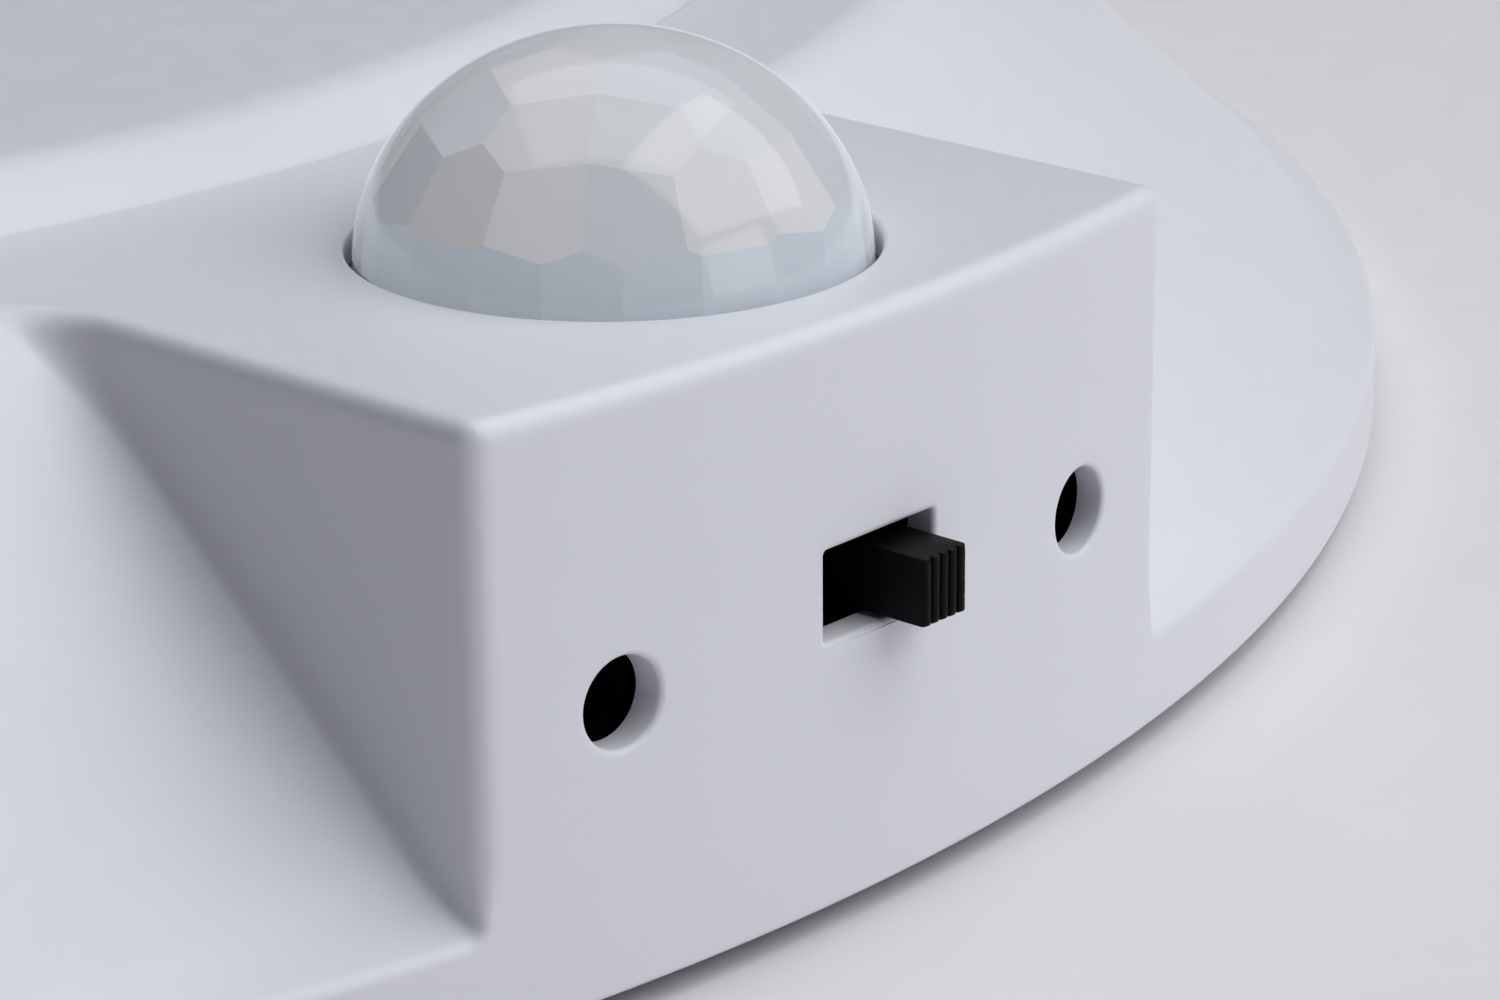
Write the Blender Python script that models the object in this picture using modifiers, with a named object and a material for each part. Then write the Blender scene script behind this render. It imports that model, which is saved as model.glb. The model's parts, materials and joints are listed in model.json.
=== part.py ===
"""Battery ceiling light with a motion sensor pod, as an assembly of separate parts.

Frame: metres, +Z out of the light's face, origin at the centre of the face that lies on the
ceiling, -Y towards the sensor pod's switch. Run it with: blender --background --python part.py
"""

from math import cos, hypot, pi, radians, sin

import bmesh
import bpy
from mathutils import Matrix, Vector

MM = 0.001
GAP = 0.3 * MM              # between pieces that touch
WALL = 1.5 * MM             # moulded wall

# Body: a dish with a flat ring, a straight flare and a short rim
BODY_R = 122.5 * MM
RIM_Z = 1.2 * MM            # the rim stops short of the ceiling
TOP_Z = 27.9 * MM           # plane of the flat ring and of the pod's top
SHOULDER_R = 97.4 * MM      # where ring and flare would meet in a sharp edge
FLARE_SLOPE = 0.928         # drop of the flare for each unit outwards
FLARE_END_R = 119.8 * MM
LIP_Z = 5.6 * MM
OPENING_R = 87.7 * MM       # hole for the diffuser
BODY_STEPS = 72

# Sensor pod
POD_HALF_WIDTH = 22.7 * MM
POD_BACK_Y = -92.0 * MM
DOME_Y = -107.0 * MM
DOME_HOLE_R = 11.95 * MM
DOME_R = 11.6 * MM
DOME_RISE = 10.35 * MM      # height of the dome's half ellipse
DOME_BASE_Z = TOP_Z - 0.92 * MM
DOME_WALL = 0.6 * MM
HOLE_R = 2.05 * MM
HOLE_X = 15.3 * MM
HOLE_Z = TOP_Z - 13.65 * MM
SLOT_HALF_WIDTH = 3.65 * MM
SLOT_HALF_HEIGHT = 2.1 * MM
SLOT_Z = TOP_Z - 12.2 * MM

# Slide switch: three places, one step apart; the knob rests at the +X place
SWITCH_STEP = 1.5 * MM
SWITCH_Z = TOP_Z - 12.5 * MM
KNOB_HALF_WIDTH = 1.45 * MM
KNOB_HALF_HEIGHT = 1.55 * MM
KNOB_TIP_Y = -BODY_R - 2.4 * MM

# Rear housing and mounting plate
FLOOR_Z = 5.0 * MM          # underside of the raised floor
FLOOR_TOP_Z = 7.0 * MM
RECESS_R = 113.0 * MM
PLATE_R = 111.5 * MM
PLATE_SKIN = 1.5 * MM
STUD_CIRCLE_R = 84.0 * MM
STUD_ANGLES = (90, 210, 330)
STUD_NECK_R = 1.8 * MM
STUD_HEAD_R = 3.4 * MM
TWIST = 15                  # degrees from locked to free
KEYHOLE_X = 60.0 * MM
CASE_SCREW_R = 93.0 * MM
CASE_SCREW_ANGLES = (45, 135, 225, 315)

# Battery well for four AA cells, side by side along X
CELL_R = 7.25 * MM
CELL_LENGTH = 50.5 * MM
CELL_PITCH = 15.6 * MM
CELL_Z = 9.8 * MM
WELL_HALF_X = 31.5 * MM
WELL_HALF_Y = 29.5 * MM
WELL_LOW_Z = 2.2 * MM
WELL_CEILING_Z = 17.35 * MM
WELL_TOP_Z = 18.6 * MM

# Boards
BOARD = 1.6 * MM
LED_BOARD_Z = 18.9 * MM
LED_BOARD_R = 62.0 * MM
LED_CIRCLE_R = 40.0 * MM
LED_COUNT = 6
SENSOR_BOARD_Z = 19.9 * MM
CONTROL_BOARD_Y = -113.4 * MM   # its front face, towards the switch

for scene_object in list(bpy.data.objects):
    bpy.data.objects.remove(scene_object, do_unlink=True)


def collection(name):
    made = bpy.data.collections.new(name)
    bpy.context.scene.collection.children.link(made)
    return made


PARTS = collection("motion_sensor_light")
CUTTERS = collection("cutters")


def material(name, colour, roughness, metallic=0.0):
    made = bpy.data.materials.new(name)
    made.use_nodes = True
    shader = made.node_tree.nodes["Principled BSDF"]
    shader.inputs["Base Color"].default_value = (*colour, 1.0)
    shader.inputs["Roughness"].default_value = roughness
    shader.inputs["Metallic"].default_value = metallic
    return made


WHITE = material("white_abs", (0.80, 0.80, 0.82), 0.42)
INNER_WHITE = material("white_inner_abs", (0.72, 0.72, 0.72), 0.55)
OPAL = material("opal_diffuser", (0.74, 0.75, 0.79), 0.35)
LENS = material("milky_lens", (0.66, 0.68, 0.72), 0.25)
BLACK = material("black_plastic", (0.02, 0.02, 0.02), 0.5)
GREEN = material("circuit_board", (0.03, 0.16, 0.07), 0.45)
ALUMINIUM = material("white_faced_aluminium", (0.85, 0.85, 0.85), 0.4)
STEEL = material("plated_steel", (0.62, 0.62, 0.60), 0.3, 1.0)
PHOSPHOR = material("led_phosphor", (0.9, 0.75, 0.2), 0.4)
PHENOLIC = material("phenolic", (0.30, 0.16, 0.07), 0.6)
BLUE = material("blue_trimmer", (0.03, 0.10, 0.35), 0.45)
CELL_JACKET = material("cell_jacket", (0.10, 0.13, 0.20), 0.35)
RED_WIRE = material("red_wire", (0.55, 0.03, 0.03), 0.45)
BLACK_WIRE = material("black_wire", (0.02, 0.02, 0.02), 0.45)
FILTER = material("dark_filter", (0.06, 0.04, 0.07), 0.2)


def add(name, mesh, location=(0, 0, 0), surface=None):
    """A part when it has a surface, a cutter otherwise."""
    made = bpy.data.objects.new(name, mesh)
    made.location = location
    if surface:
        mesh.materials.append(surface)
        PARTS.objects.link(made)
    else:
        CUTTERS.objects.link(made)
        made.hide_render = True
        made.display_type = "WIRE"
    return made


def box(name, low, high, surface=None, origin=None):
    """A box between two corners; its origin is its middle unless another is given."""
    low, high = Vector(low), Vector(high)
    middle = (low + high) / 2
    place = Vector(origin) if origin else middle
    shape = bmesh.new()
    bmesh.ops.create_cube(shape, size=1.0)
    bmesh.ops.scale(shape, vec=high - low, verts=shape.verts)
    bmesh.ops.translate(shape, vec=middle - place, verts=shape.verts)
    mesh = bpy.data.meshes.new(name)
    shape.to_mesh(mesh)
    shape.free()
    return add(name, mesh, place, surface)


def cylinder(name, radius, low, high, axis="Z", segments=24, surface=None):
    """A round bar between two points on a line along Z or Y; its origin is its middle."""
    low, high = Vector(low), Vector(high)
    shape = bmesh.new()
    bmesh.ops.create_cone(
        shape, cap_ends=True, segments=segments, radius1=radius, radius2=radius,
        depth=(high - low).length,
    )
    if axis == "Y":
        bmesh.ops.rotate(shape, matrix=Matrix.Rotation(pi / 2, 3, "X"), verts=shape.verts)
    mesh = bpy.data.meshes.new(name)
    shape.to_mesh(mesh)
    shape.free()
    return add(name, mesh, (low + high) / 2, surface)


def turned(name, profile, steps, location=(0, 0, 0), surface=None):
    """A solid of revolution about Z; the profile of (radius, height) starts and ends on it,
    or is closed where it stays clear of it."""
    mesh = bpy.data.meshes.new(name)
    points = [(radius, 0.0, height) for radius, height in profile]
    edges = [(i, i + 1) for i in range(len(points) - 1)]
    if profile[0][0] > 0:
        edges.append((len(points) - 1, 0))
    mesh.from_pydata(points, edges, [])
    made = add(name, mesh, location, surface)
    screw = made.modifiers.new("Screw", "SCREW")
    screw.steps = steps
    screw.render_steps = steps
    screw.use_merge_vertices = True
    screw.merge_threshold = 0.00001
    screw.use_smooth_shade = False
    return made


def outline(name, points, low_z, high_z):
    """A flat outline given a thickness, as a cutter."""
    curve = bpy.data.curves.new(name, "CURVE")
    curve.dimensions = "2D"
    curve.fill_mode = "BOTH"
    curve.extrude = (high_z - low_z) / 2
    spline = curve.splines.new("POLY")
    spline.points.add(len(points) - 1)
    for point, (x, y) in zip(spline.points, points):
        point.co = (x, y, 0, 1)
    spline.use_cyclic_u = True
    source = bpy.data.objects.new(name + "_curve", curve)
    CUTTERS.objects.link(source)
    source.location = (0, 0, (low_z + high_z) / 2)
    bpy.context.view_layer.update()
    evaluated = source.evaluated_get(bpy.context.evaluated_depsgraph_get())
    mesh = bpy.data.meshes.new_from_object(evaluated)
    shape = bmesh.new()
    shape.from_mesh(mesh)
    bmesh.ops.remove_doubles(shape, verts=shape.verts, dist=0.000001)
    bmesh.ops.recalc_face_normals(shape, faces=shape.faces)
    shape.to_mesh(mesh)
    shape.free()
    made = add(name, mesh)
    made.matrix_world = source.matrix_world
    bpy.data.objects.remove(source)
    return made


def wire(name, points, radius, surface, resolution=2):
    """A round wire through the points, with flat ends."""
    curve = bpy.data.curves.new(name, "CURVE")
    curve.dimensions = "3D"
    curve.bevel_depth = radius
    curve.bevel_resolution = resolution
    curve.use_fill_caps = True
    spline = curve.splines.new("POLY")
    spline.points.add(len(points) - 1)
    for point, place in zip(spline.points, points):
        point.co = (*place, 1)
    made = bpy.data.objects.new(name, curve)
    curve.materials.append(surface)
    PARTS.objects.link(made)
    return made


def boolean(target, operation, tools):
    for tool in tools:
        modifier = target.modifiers.new(operation.title(), "BOOLEAN")
        modifier.operation = operation
        modifier.solver = "EXACT"
        modifier.object = tool


def cut(target, *tools):
    boolean(target, "DIFFERENCE", tools)


def join(target, *tools):
    boolean(target, "UNION", tools)


def around(radius, degrees, z=0.0):
    return Vector((radius * cos(radians(degrees)), radius * sin(radians(degrees)), z))


def arc(centre, radius, start, end, count):
    """Points on a circular arc, angles in degrees."""
    steps = [start + (end - start) * i / count for i in range(count + 1)]
    return [
        (centre[0] + radius * cos(radians(a)), centre[1] + radius * sin(radians(a)))
        for a in steps
    ]


def flare_line(inset):
    """Radius and height along the flare, from above the ring to beyond the rim, or the line
    that lies this far inside it."""
    drop = inset * hypot(1, FLARE_SLOPE)
    top = TOP_Z - inset
    shoulder_r = SHOULDER_R + (inset - drop) / FLARE_SLOPE
    end_r = FLARE_END_R - 0.6 * inset
    end_z = TOP_Z - drop - FLARE_SLOPE * (end_r - SHOULDER_R)
    rim_r, lip_z = BODY_R - inset, LIP_Z - inset
    return [
        (shoulder_r - 2.2 * MM, top + 0.55 * MM),
        (shoulder_r + 0.6 * MM, top - 0.55 * MM),
        (end_r, end_z),
        ((end_r + rim_r) / 2, (end_z + lip_z) / 2 - 0.2 * MM),
        (rim_r, lip_z),
        (rim_r + 2 * MM, lip_z - 0.3 * MM),
    ]


def dish(name, inset, bottom, surface=None):
    """The body with its pod as one solid: a drum whose edge is turned down to the flare
    everywhere but at the pod."""
    top = TOP_Z - inset
    drum = turned(name, [(0, top), (BODY_R - inset, top), (BODY_R - inset, bottom), (0, bottom)],
                  BODY_STEPS, surface=surface)
    line = flare_line(inset)
    outside_r = line[-1][0]
    turning = turned(f"{name}_turning", [(line[0][0], top + 2 * MM), (outside_r, top + 2 * MM)]
                     + line[::-1], BODY_STEPS)
    half = POD_HALF_WIDTH - inset
    cut(turning, box(f"{name}_pod", (-half, -BODY_R - 5 * MM, -5 * MM),
                     (half, POD_BACK_Y, TOP_Z + 5 * MM)))
    cut(drum, turning)
    return drum


def front_cover():
    cover = dish("front_cover", 0, RIM_Z, WHITE)
    cut(
        cover,
        dish("hollow", WALL, RIM_Z - 1 * MM),
        cylinder("diffuser_opening", OPENING_R, (0, 0, TOP_Z - 5 * MM), (0, 0, TOP_Z + 2 * MM),
                 segments=BODY_STEPS),
        cylinder("dome_hole", DOME_HOLE_R, (0, DOME_Y, TOP_Z - 3 * MM),
                 (0, DOME_Y, TOP_Z + 1 * MM), segments=32),
        box("knob_slot",
            (-SLOT_HALF_WIDTH, -BODY_R - 2 * MM, SLOT_Z - SLOT_HALF_HEIGHT),
            (SLOT_HALF_WIDTH, -BODY_R + 4 * MM, SLOT_Z + SLOT_HALF_HEIGHT)),
    )
    for side in (-1, 1):
        cut(cover, cylinder(f"trimmer_hole_{side}", HOLE_R,
                            (side * HOLE_X, -BODY_R - 2 * MM, HOLE_Z),
                            (side * HOLE_X, -BODY_R + 6 * MM, HOLE_Z), axis="Y"))
        place = (side * 17 * MM, DOME_Y)
        join(cover, cylinder(f"retainer_boss_{side}", 2.4 * MM, (*place, 25.4 * MM),
                             (*place, TOP_Z - WALL / 2), segments=16))
        cut(cover, cylinder(f"retainer_pilot_{side}", 1.05 * MM, (*place, 25.0 * MM),
                            (*place, 26.9 * MM), segments=12))
    for angle in CASE_SCREW_ANGLES:
        join(cover, cylinder(f"screw_boss_{angle}", 3.3 * MM, around(CASE_SCREW_R, angle, 8 * MM),
                             around(CASE_SCREW_R, angle, TOP_Z - WALL / 2), segments=16))
        cut(cover, cylinder(f"screw_pilot_{angle}", 1.6 * MM, around(CASE_SCREW_R, angle, 7 * MM),
                            around(CASE_SCREW_R, angle, 20 * MM), segments=12))


def diffuser():
    """Opal cap that stands 3 mm proud of the ring and is held by its flange."""
    edge_r = OPENING_R - GAP
    crest_z = TOP_Z + 3 * MM
    round_r = 2.4 * MM
    outside = [(0, crest_z + 1.4 * MM), (50 * MM, crest_z + 0.9 * MM)]
    outside += arc((edge_r - round_r, crest_z - round_r), round_r, 75, 0, 3)
    flange_top = TOP_Z - WALL - GAP
    flange = [
        (edge_r, flange_top),
        (OPENING_R + 1.4 * MM, flange_top),
        (OPENING_R + 1.4 * MM, flange_top - 1.2 * MM),
        (edge_r - 1.6 * MM, flange_top - 1.2 * MM),
    ]
    inside = arc((edge_r - round_r - 0.6 * MM, crest_z - round_r), 1.0 * MM, 0, 75, 1)
    inside += [(50 * MM, crest_z - 0.7 * MM), (0, crest_z - 0.2 * MM)]
    turned("diffuser", outside + flange + inside, 48, surface=OPAL)


def fresnel_dome():
    flange_z = TOP_Z - WALL - GAP
    count = 7
    angles = [radians(90 - 90 * i / count) for i in range(count + 1)]
    outside = [(DOME_R * cos(a), DOME_RISE * sin(a)) for a in angles]
    inner_r, inner_rise = DOME_R - DOME_WALL, DOME_RISE - DOME_WALL
    inside = [(inner_r * cos(a), inner_rise * sin(a)) for a in reversed(angles)]
    outside[0] = (0, DOME_RISE)
    inside[-1] = (0, inner_rise)
    low = flange_z - DOME_BASE_Z
    flange = [
        (DOME_R, low),
        (13.0 * MM, low),
        (13.0 * MM, low - 0.7 * MM),
        (inner_r, low - 0.7 * MM),
    ]
    turned("fresnel_dome", outside + flange + inside, 28, (0, DOME_Y, DOME_BASE_Z), LENS)


def lens_retainer():
    low, high = 23.2 * MM, 25.1 * MM
    ring = cylinder("lens_retainer", 13.4 * MM, (0, DOME_Y, low), (0, DOME_Y, high),
                    segments=32, surface=BLACK)
    for side in (-1, 1):
        ear_x = side * 17 * MM
        join(ring, box(f"retainer_ear_{side}",
                       (min(ear_x - side * 6 * MM, ear_x + side * 2.4 * MM), DOME_Y - 2.4 * MM, low),
                       (max(ear_x - side * 6 * MM, ear_x + side * 2.4 * MM), DOME_Y + 2.4 * MM, high)))
        cut(ring, cylinder(f"retainer_ear_hole_{side}", 1.1 * MM, (ear_x, DOME_Y, low - 1 * MM),
                           (ear_x, DOME_Y, high + 1 * MM), segments=12))
    cut(ring, cylinder("retainer_middle", 10.8 * MM, (0, DOME_Y, low - 1 * MM),
                       (0, DOME_Y, high + 1 * MM), segments=32))
    for number, side in ((1, -1), (2, 1)):
        screw(f"retainer_screw_{number}", (side * 17 * MM, DOME_Y, low - GAP), 0.75 * MM, 3.6 * MM,
              1.7 * MM, 0.9 * MM, up=True)


def screw(name, seat, shank_r, shank, head_r, head, up):
    """A cross-head screw whose head lies against the seat; the shank points up or down."""
    way = 1 if up else -1
    made = turned(name, sorted_profile([
        (0, way * shank), (shank_r * 0.5, way * shank), (shank_r, way * (shank - shank_r)),
        (shank_r, 0), (head_r, 0), (head_r * 0.85, -way * head), (0, -way * head),
    ], up), 12, seat, STEEL)
    depth = head * 0.55
    outer = seat[2] - way * head
    inner = outer + way * depth
    outside = outer - way * 0.5 * MM
    low, high = min(inner, outside), max(inner, outside)
    for across, along in ((0.14, 0.55), (0.55, 0.14)):
        cut(made, box(f"{name}_slot_{along}",
                      (seat[0] - head_r * across, seat[1] - head_r * along, low),
                      (seat[0] + head_r * across, seat[1] + head_r * along, high)))
    return made


def sorted_profile(points, up):
    """A profile runs from its top to its bottom."""
    return points if up else points[::-1]


def sensor_electronics():
    z = SENSOR_BOARD_Z
    on_top = z + BOARD + GAP
    board = box("sensor_board", (-19.5 * MM, -117.6 * MM, z), (19.5 * MM, -90.5 * MM, z + BOARD), GREEN)
    for number, side in ((1, -1), (2, 1)):
        place = (side * 16 * MM, -97 * MM)
        cut(board, cylinder(f"board_hole_{number}", 1.1 * MM, (*place, z - 1 * MM),
                            (*place, z + 3 * MM), segments=12))
        screw(f"board_screw_{number}", (*place, on_top), 0.75 * MM, 7 * MM, 1.8 * MM, 1.1 * MM, up=False)
    can_top = 26.4 * MM
    turned("pir_sensor", [(0, can_top - on_top), (4.2 * MM, can_top - on_top),
                          (4.2 * MM, 0.5 * MM), (4.7 * MM, 0.5 * MM), (4.7 * MM, 0), (0, 0)],
           24, (0, DOME_Y, on_top), STEEL)
    box("pir_window", (-2 * MM, DOME_Y - 1.5 * MM, can_top + GAP),
        (2 * MM, DOME_Y + 1.5 * MM, can_top + 2 * GAP), FILTER)
    turned("light_sensor", [(0, 3.2 * MM), (0.9 * MM, 3.0 * MM), (1.5 * MM, 2.2 * MM),
                            (1.5 * MM, 0), (0, 0)], 16, (6.4 * MM, DOME_Y - 3.6 * MM, on_top), FILTER)
    box("sensor_chip", (6 * MM, -98 * MM, on_top), (10 * MM, -92 * MM, on_top + 1.1 * MM), BLACK)
    turned("capacitor", [(0, 4 * MM), (2.2 * MM, 4 * MM), (2.5 * MM, 3.7 * MM), (2.5 * MM, 0), (0, 0)],
           20, (-9 * MM, -93.6 * MM, on_top), STEEL)


def control_electronics():
    front = CONTROL_BOARD_Y
    back = front + BOARD
    board = box("control_board", (-20 * MM, front, 8 * MM), (20 * MM, back, 19.4 * MM), GREEN)
    behind = back + GAP
    for number in (1, 2, 3):
        x = (number - 2) * 2.5 * MM
        cut(board, cylinder(f"terminal_hole_{number}", 0.9 * MM, (x, front - 1 * MM, SWITCH_Z),
                            (x, back + 1 * MM, SWITCH_Z), axis="Y", segments=12))
        box(f"switch_terminal_{number}", (x - 0.25 * MM, front - 0.1 * MM, SWITCH_Z - 0.35 * MM),
            (x + 0.25 * MM, back + 1.2 * MM, SWITCH_Z + 0.35 * MM), STEEL)
    box("driver_chip", (10 * MM, behind, 10 * MM), (15 * MM, behind + 1.5 * MM, 14 * MM), BLACK)
    cylinder("inductor", 3 * MM, (6 * MM, behind, 12.5 * MM), (6 * MM, behind + 3.5 * MM, 12.5 * MM),
             axis="Y", segments=20, surface=BLACK)
    box("wire_connector", (-14 * MM, behind, 9.5 * MM), (-4 * MM, behind + 5 * MM, 14 * MM), INNER_WHITE)
    shield = box("light_shield", (-19.2 * MM, -119.1 * MM, 7.4 * MM),
                 (19.2 * MM, -118.4 * MM, 19.6 * MM), BLACK)
    cut(shield, box("shield_slot", (-4.2 * MM, -121 * MM, SLOT_Z - 2.3 * MM),
                    (4.2 * MM, -117 * MM, SLOT_Z + 2.3 * MM)))
    for side, word in ((-1, "left"), (1, "right")):
        centre = (side * HOLE_X, 0, HOLE_Z)
        cut(shield, cylinder(f"shield_hole_{word}", 2.4 * MM, (centre[0], -121 * MM, HOLE_Z),
                             (centre[0], -117 * MM, HOLE_Z), axis="Y", segments=20))
        trimmer(word, centre[0], front - GAP)


def trimmer(word, x, back_y):
    """A screwdriver trimmer: a square body with a turning slotted rotor in its face."""
    face_y = -117.3 * MM
    body = box(f"trimmer_body_{word}", (x - 3.3 * MM, face_y, HOLE_Z - 3.3 * MM),
               (x + 3.3 * MM, back_y, HOLE_Z + 3.3 * MM), BLUE)
    cut(body, cylinder(f"trimmer_pocket_{word}", 2.75 * MM, (x, face_y - 1 * MM, HOLE_Z),
                       (x, face_y + 1.8 * MM, HOLE_Z), axis="Y"))
    rotor = cylinder(f"trimmer_rotor_{word}", 2.4 * MM, (x, face_y + 0.1 * MM, HOLE_Z),
                     (x, face_y + 1.5 * MM, HOLE_Z), axis="Y", surface=BLACK)
    cut(rotor, box(f"rotor_slot_{word}", (x - 1.9 * MM, face_y - 1 * MM, HOLE_Z - 0.35 * MM),
                   (x + 1.9 * MM, face_y + 0.8 * MM, HOLE_Z + 0.35 * MM)))


def slide_switch():
    frame_low = (-6.5 * MM, -118.0 * MM, SWITCH_Z - 2.9 * MM)
    frame_high = (6.5 * MM, -114.3 * MM, SWITCH_Z + 2.9 * MM)
    sheet = 0.4 * MM
    frame = box("switch_frame", frame_low, frame_high, STEEL)
    travel = SWITCH_STEP + KNOB_HALF_WIDTH
    cut(frame,
        box("frame_hollow", (frame_low[0] + sheet, frame_low[1] + sheet, frame_low[2] + sheet),
            (frame_high[0] - sheet, frame_high[1] + 1 * MM, frame_high[2] - sheet)),
        box("frame_slot", (-travel - 0.4 * MM, frame_low[1] - 1 * MM, SWITCH_Z - 1.95 * MM),
            (travel + 0.4 * MM, frame_low[1] + 1 * MM, SWITCH_Z + 1.95 * MM)))
    box("switch_base", (-5.7 * MM, -115.1 * MM, SWITCH_Z - 2.15 * MM),
        (5.7 * MM, CONTROL_BOARD_Y - GAP, SWITCH_Z + 2.15 * MM), PHENOLIC)
    rest = (SWITCH_STEP, -BODY_R, SWITCH_Z)
    knob = box("switch_knob", (SWITCH_STEP - KNOB_HALF_WIDTH, KNOB_TIP_Y, SWITCH_Z - KNOB_HALF_HEIGHT),
               (SWITCH_STEP + KNOB_HALF_WIDTH, -117.0 * MM, SWITCH_Z + KNOB_HALF_HEIGHT), BLACK,
               origin=rest)
    join(knob, box("slider_block", (SWITCH_STEP - 2.2 * MM, -117.3 * MM, SWITCH_Z - 1.9 * MM),
                   (SWITCH_STEP + 2.2 * MM, -116.0 * MM, SWITCH_Z + 1.9 * MM)))
    ribs = 5
    pitch = 2 * KNOB_HALF_WIDTH / ribs
    for number in range(1, ribs):
        x = SWITCH_STEP - KNOB_HALF_WIDTH + number * pitch
        cut(knob, box(f"knob_groove_{number}", (x - 0.09 * MM, KNOB_TIP_Y - 1 * MM, SWITCH_Z - 3 * MM),
                      (x + 0.09 * MM, KNOB_TIP_Y + 0.35 * MM, SWITCH_Z + 3 * MM)))
    box("switch_wiper", (SWITCH_STEP - 1.8 * MM, -115.75 * MM, SWITCH_Z - 1.2 * MM),
        (SWITCH_STEP + 1.8 * MM, -115.45 * MM, SWITCH_Z + 1.2 * MM), STEEL, origin=rest)


def rear_housing():
    """Stepped floor with the battery well, the bayonet slots and the screw towers."""
    outer_r = BODY_R - WALL - 0.7 * MM
    housing = turned("rear_housing", [
        (0, FLOOR_TOP_Z), (115 * MM, FLOOR_TOP_Z), (115 * MM, 3.7 * MM), (outer_r, 3.7 * MM),
        (outer_r, 1.7 * MM), (RECESS_R, 1.7 * MM), (RECESS_R, FLOOR_Z), (0, FLOOR_Z),
    ], 48, surface=INNER_WHITE)
    join(housing, box("well_outside",
                      (-WELL_HALF_X - WALL, -WELL_HALF_Y - WALL, WELL_LOW_Z),
                      (WELL_HALF_X + WALL, WELL_HALF_Y + WALL, WELL_TOP_Z)))
    cut(housing, box("well_inside", (-WELL_HALF_X, -WELL_HALF_Y, WELL_LOW_Z - 1 * MM),
                     (WELL_HALF_X, WELL_HALF_Y, WELL_CEILING_Z)))
    for angle in CASE_SCREW_ANGLES:
        join(housing, cylinder(f"tower_{angle}", 5 * MM, around(CASE_SCREW_R, angle, 6 * MM),
                               around(CASE_SCREW_R, angle, 7.7 * MM), segments=20))
        cut(housing,
            cylinder(f"tower_bore_{angle}", 1.7 * MM, around(CASE_SCREW_R, angle, 3 * MM),
                     around(CASE_SCREW_R, angle, 9 * MM), segments=12))
        screw(f"case_screw_{angle // 90 + 1}", around(CASE_SCREW_R, angle, FLOOR_Z - GAP),
              1.25 * MM, 14 * MM, 2.9 * MM, 1.9 * MM, up=True)
    for angle in STUD_ANGLES:
        cut(housing, bayonet_slot(angle))
    for side in (-1, 1):
        place = (side * 16 * MM, -97 * MM)
        join(housing, cylinder(f"board_post_{side}", 2.6 * MM, (*place, 6 * MM),
                               (*place, SENSOR_BOARD_Z - GAP), segments=16))
        cut(housing, cylinder(f"post_bore_{side}", 1.05 * MM, (*place, 9 * MM),
                              (*place, SENSOR_BOARD_Z + 1 * MM), segments=12))


def bayonet_slot(angle):
    """An arc slot for a stud's neck that ends in a round entry for its head."""
    half = STUD_NECK_R + 0.5 * MM
    entry_r = STUD_HEAD_R + 0.5 * MM
    entry = angle - TWIST
    middle = around(STUD_CIRCLE_R, entry)
    # the entry's rim starts and ends where the slot's two edges run into it
    opening = 2 * degrees_of(half / entry_r)
    along = entry + 90
    rim = arc(middle, entry_r, along + opening / 2, along + 360 - opening / 2, 14)
    first = entry + degrees_of(entry_r / STUD_CIRCLE_R) * 0.9
    inner = arc((0, 0), STUD_CIRCLE_R - half, first, angle, 4)
    end = arc(around(STUD_CIRCLE_R, angle), half, angle + 180, angle, 6)
    outer = arc((0, 0), STUD_CIRCLE_R + half, angle, first, 4)
    return outline(f"bayonet_slot_{angle}", rim + outer[::-1] + end[::-1][1:-1] + inner[::-1],
                   FLOOR_Z - 2 * MM, FLOOR_TOP_Z + 2 * MM)


def degrees_of(ratio):
    return ratio * 180 / pi


def mounting_plate():
    plate = turned("mounting_plate", [
        (0, PLATE_SKIN), (PLATE_R - 1.5 * MM, PLATE_SKIN), (PLATE_R - 1.5 * MM, 4.4 * MM),
        (PLATE_R, 4.4 * MM), (PLATE_R, 0), (0, 0),
    ], 48, surface=INNER_WHITE)
    for angle in STUD_ANGLES:
        join(plate,
             cylinder(f"stud_neck_{angle}", STUD_NECK_R, around(STUD_CIRCLE_R, angle, 1 * MM),
                      around(STUD_CIRCLE_R, angle, 8 * MM), segments=16),
             cylinder(f"stud_head_{angle}", STUD_HEAD_R, around(STUD_CIRCLE_R, angle, 7.4 * MM),
                      around(STUD_CIRCLE_R, angle, 9.0 * MM), segments=20))
    for side in (-1, 1):
        x = side * KEYHOLE_X
        cut(plate,
            cylinder(f"keyhole_entry_{side}", 4.6 * MM, (x, 0, -1 * MM), (x, 0, 3 * MM)),
            box(f"keyhole_slot_{side}", (x - 2.3 * MM, 0, -1 * MM), (x + 2.3 * MM, 10 * MM, 3 * MM)),
            cylinder(f"screw_hole_{side}", 2.3 * MM, (0, x, -1 * MM), (0, x, 3 * MM)))


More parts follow.
